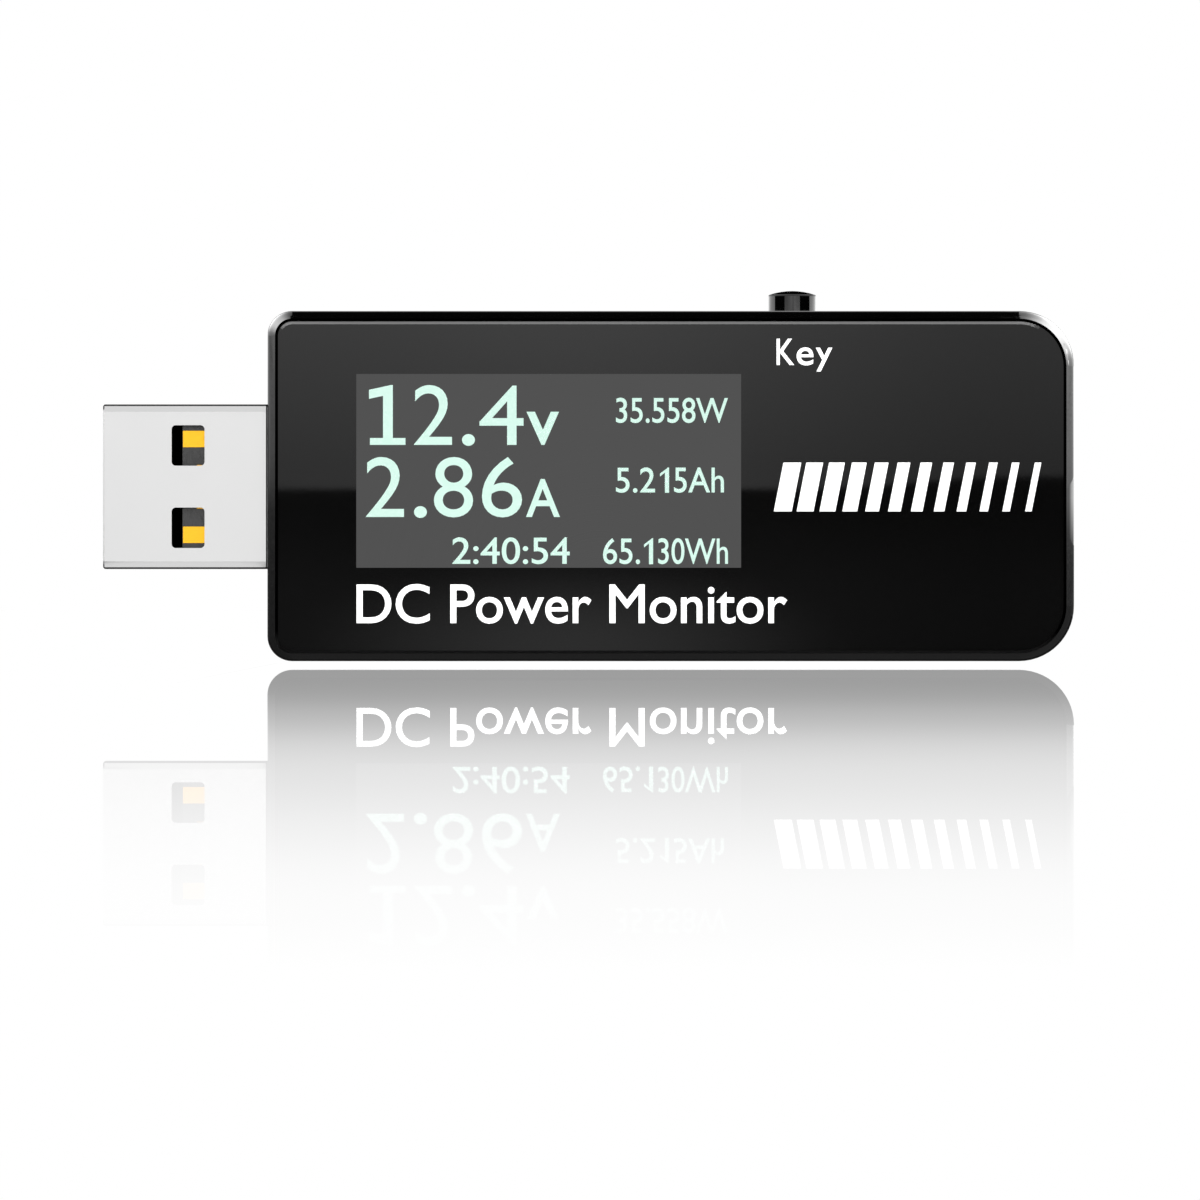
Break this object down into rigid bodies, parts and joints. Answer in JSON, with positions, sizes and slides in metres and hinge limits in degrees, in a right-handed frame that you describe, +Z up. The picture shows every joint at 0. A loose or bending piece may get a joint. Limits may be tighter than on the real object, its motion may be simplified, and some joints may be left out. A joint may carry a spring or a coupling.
{
  "type": "usb power meter",
  "caption": "Flat in-line USB power meter with a plug at one end, a socket at the other, a display behind a glossy panel and a key on its top edge.",
  "frame": {"origin": "on the plug's axis, where the plug leaves the case's end face", "axes": "+X from the plug to the socket, +Y from the display towards the rear face, +Z up towards the key"},
  "size_m": [0.0706, 0.013, 0.027],
  "materials": {
    "case_plastic": "gloss black moulded plastic",
    "panel_acrylic": "high-gloss black acrylic",
    "window_acrylic": "clear polished acrylic",
    "label_film": "satin polyester film, blank",
    "gasket_foam": "fine closed-cell foam",
    "display_glass": "polished display glass",
    "display_active": "dark display layer, lit when in use",
    "tape_foam": "double-sided foam tape",
    "ribbon_film": "amber polyimide ribbon",
    "board_laminate": "solder-masked laminate",
    "plug_steel": "nickel-plated sheet steel",
    "socket_steel": "nickel-plated sheet steel",
    "plug_plastic": "dark grey moulded insulator",
    "socket_plastic": "black moulded insulator",
    "contact_gold": "gold-plated contacts",
    "key_plastic": "gloss black moulded key",
    "switch_plastic": "black moulded switch base",
    "switch_steel": "plated sheet steel",
    "dome_steel": "spring steel",
    "tinned_metal": "tin-plated leads",
    "chip_epoxy": "moulded epoxy",
    "crystal_can": "drawn metal can",
    "ceramic_body": "fired ceramic with tinned ends",
    "resistor_body": "glazed black with tinned ends",
    "tantalum_body": "moulded ochre body"
  },
  "bodies": {
    "meter": {"front_cover": "case_plastic", "rear_cover": "case_plastic", "rating_label": "label_film", "front_panel": "panel_acrylic", "display_window": "window_acrylic", "display_gasket": "gasket_foam", "oled_cover_glass": "display_glass", "oled_active_layer": "display_active", "oled_substrate": "display_glass", "oled_driver_chip": "chip_epoxy", "display_tape": "tape_foam", "display_ribbon": "ribbon_film", "circuit_board": "board_laminate", "plug_shell": "plug_steel", "plug_insulator": "plug_plastic", "plug_contacts": "contact_gold", "socket_shell": "socket_steel", "socket_insulator": "socket_plastic", "socket_contacts": "contact_gold", "switch_base": "switch_plastic", "switch_cover": "switch_steel", "switch_dome": "dome_steel", "switch_terminals": "tinned_metal", "microcontroller": "chip_epoxy", "microcontroller_leads": "tinned_metal", "sense_amplifier": "chip_epoxy", "sense_amplifier_leads": "tinned_metal", "voltage_regulator": "chip_epoxy", "voltage_regulator_leads": "tinned_metal", "shunt_resistor": "resistor_body", "crystal": "crystal_can", "ceramic_capacitors": "ceramic_body", "chip_resistors": "resistor_body", "tantalum_capacitor": "tantalum_body"},
    "key": {"key_plunger": "key_plastic"}
  },
  "joints": [
    {"name": "key_press", "type": "slide", "parent": "meter", "child": "key", "axis": [0, 0, -1], "range_m": [0, 0.00025], "stiffness_N_per_m": 20, "springref_m": -0.0001, "deforming": ["switch_dome"]}
  ]
}
